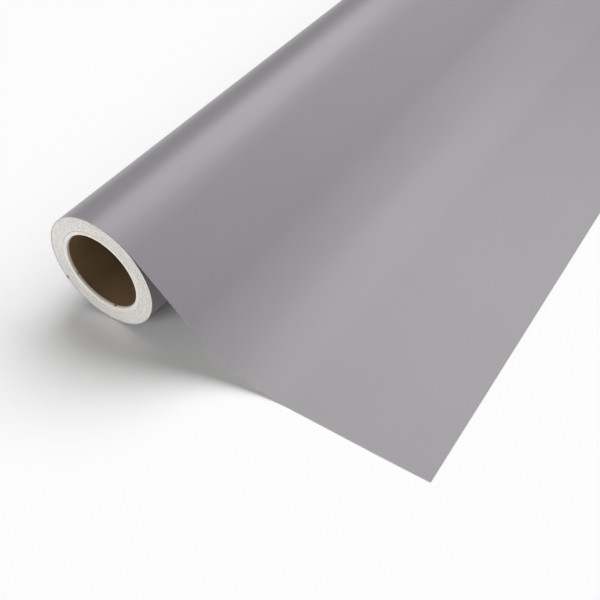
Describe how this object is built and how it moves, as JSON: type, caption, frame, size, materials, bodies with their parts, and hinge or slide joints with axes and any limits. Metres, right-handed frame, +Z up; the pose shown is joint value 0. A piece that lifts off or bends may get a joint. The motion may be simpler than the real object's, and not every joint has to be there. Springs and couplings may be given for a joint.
{
  "type": "backdrop paper roll",
  "caption": "Roll of grey seamless background paper on an open cardboard core, with a leader drawn off over the top that curves down and lies flat to a straight free end.",
  "frame": {"origin": "centre of the core's bore, halfway along the roll", "axes": "+X along the roll, +Z up, and the leader comes off over the top towards -Y"},
  "size_m": [1.35, 0.266, 0.0799],
  "materials": {
    "paper_face": "matte",
    "paper_edge": "matte",
    "core_board": "matte",
    "kraft_liner": "matte",
    "tape": "satin"
  },
  "bodies": {
    "leader": {"outer_turn": "paper_face", "leader_drape": "paper_face"},
    "roll": {"core_liner_ply": "kraft_liner", "core_wall": "core_board", "core_outer_ply": "core_board", "tail_tapes": "tape", "wound_paper": "paper_edge"},
    "drawn_sheet": {"leader_flat": "paper_face"},
    "free_end": {"leader_end": "paper_face"}
  },
  "joints": [
    {"name": "roll_spin", "type": "hinge", "parent": "leader", "child": "roll", "pos_m": [0, 0, 0], "axis": [1, 0, 0], "range_deg": [0, 1800]},
    {"name": "leader_feed", "type": "slide", "parent": "leader", "child": "drawn_sheet", "axis": [0, -1, 0], "range_m": [0, 1.2535]},
    {"name": "end_lift", "type": "hinge", "parent": "drawn_sheet", "child": "free_end", "pos_m": [0, -0.17, -0.0398], "axis": [-1, 0, 0], "range_deg": [0, 75]}
  ],
  "couplings": [
    {"joint": "leader_feed", "follows": "roll_spin", "m_per_rad": 0.0399}
  ]
}
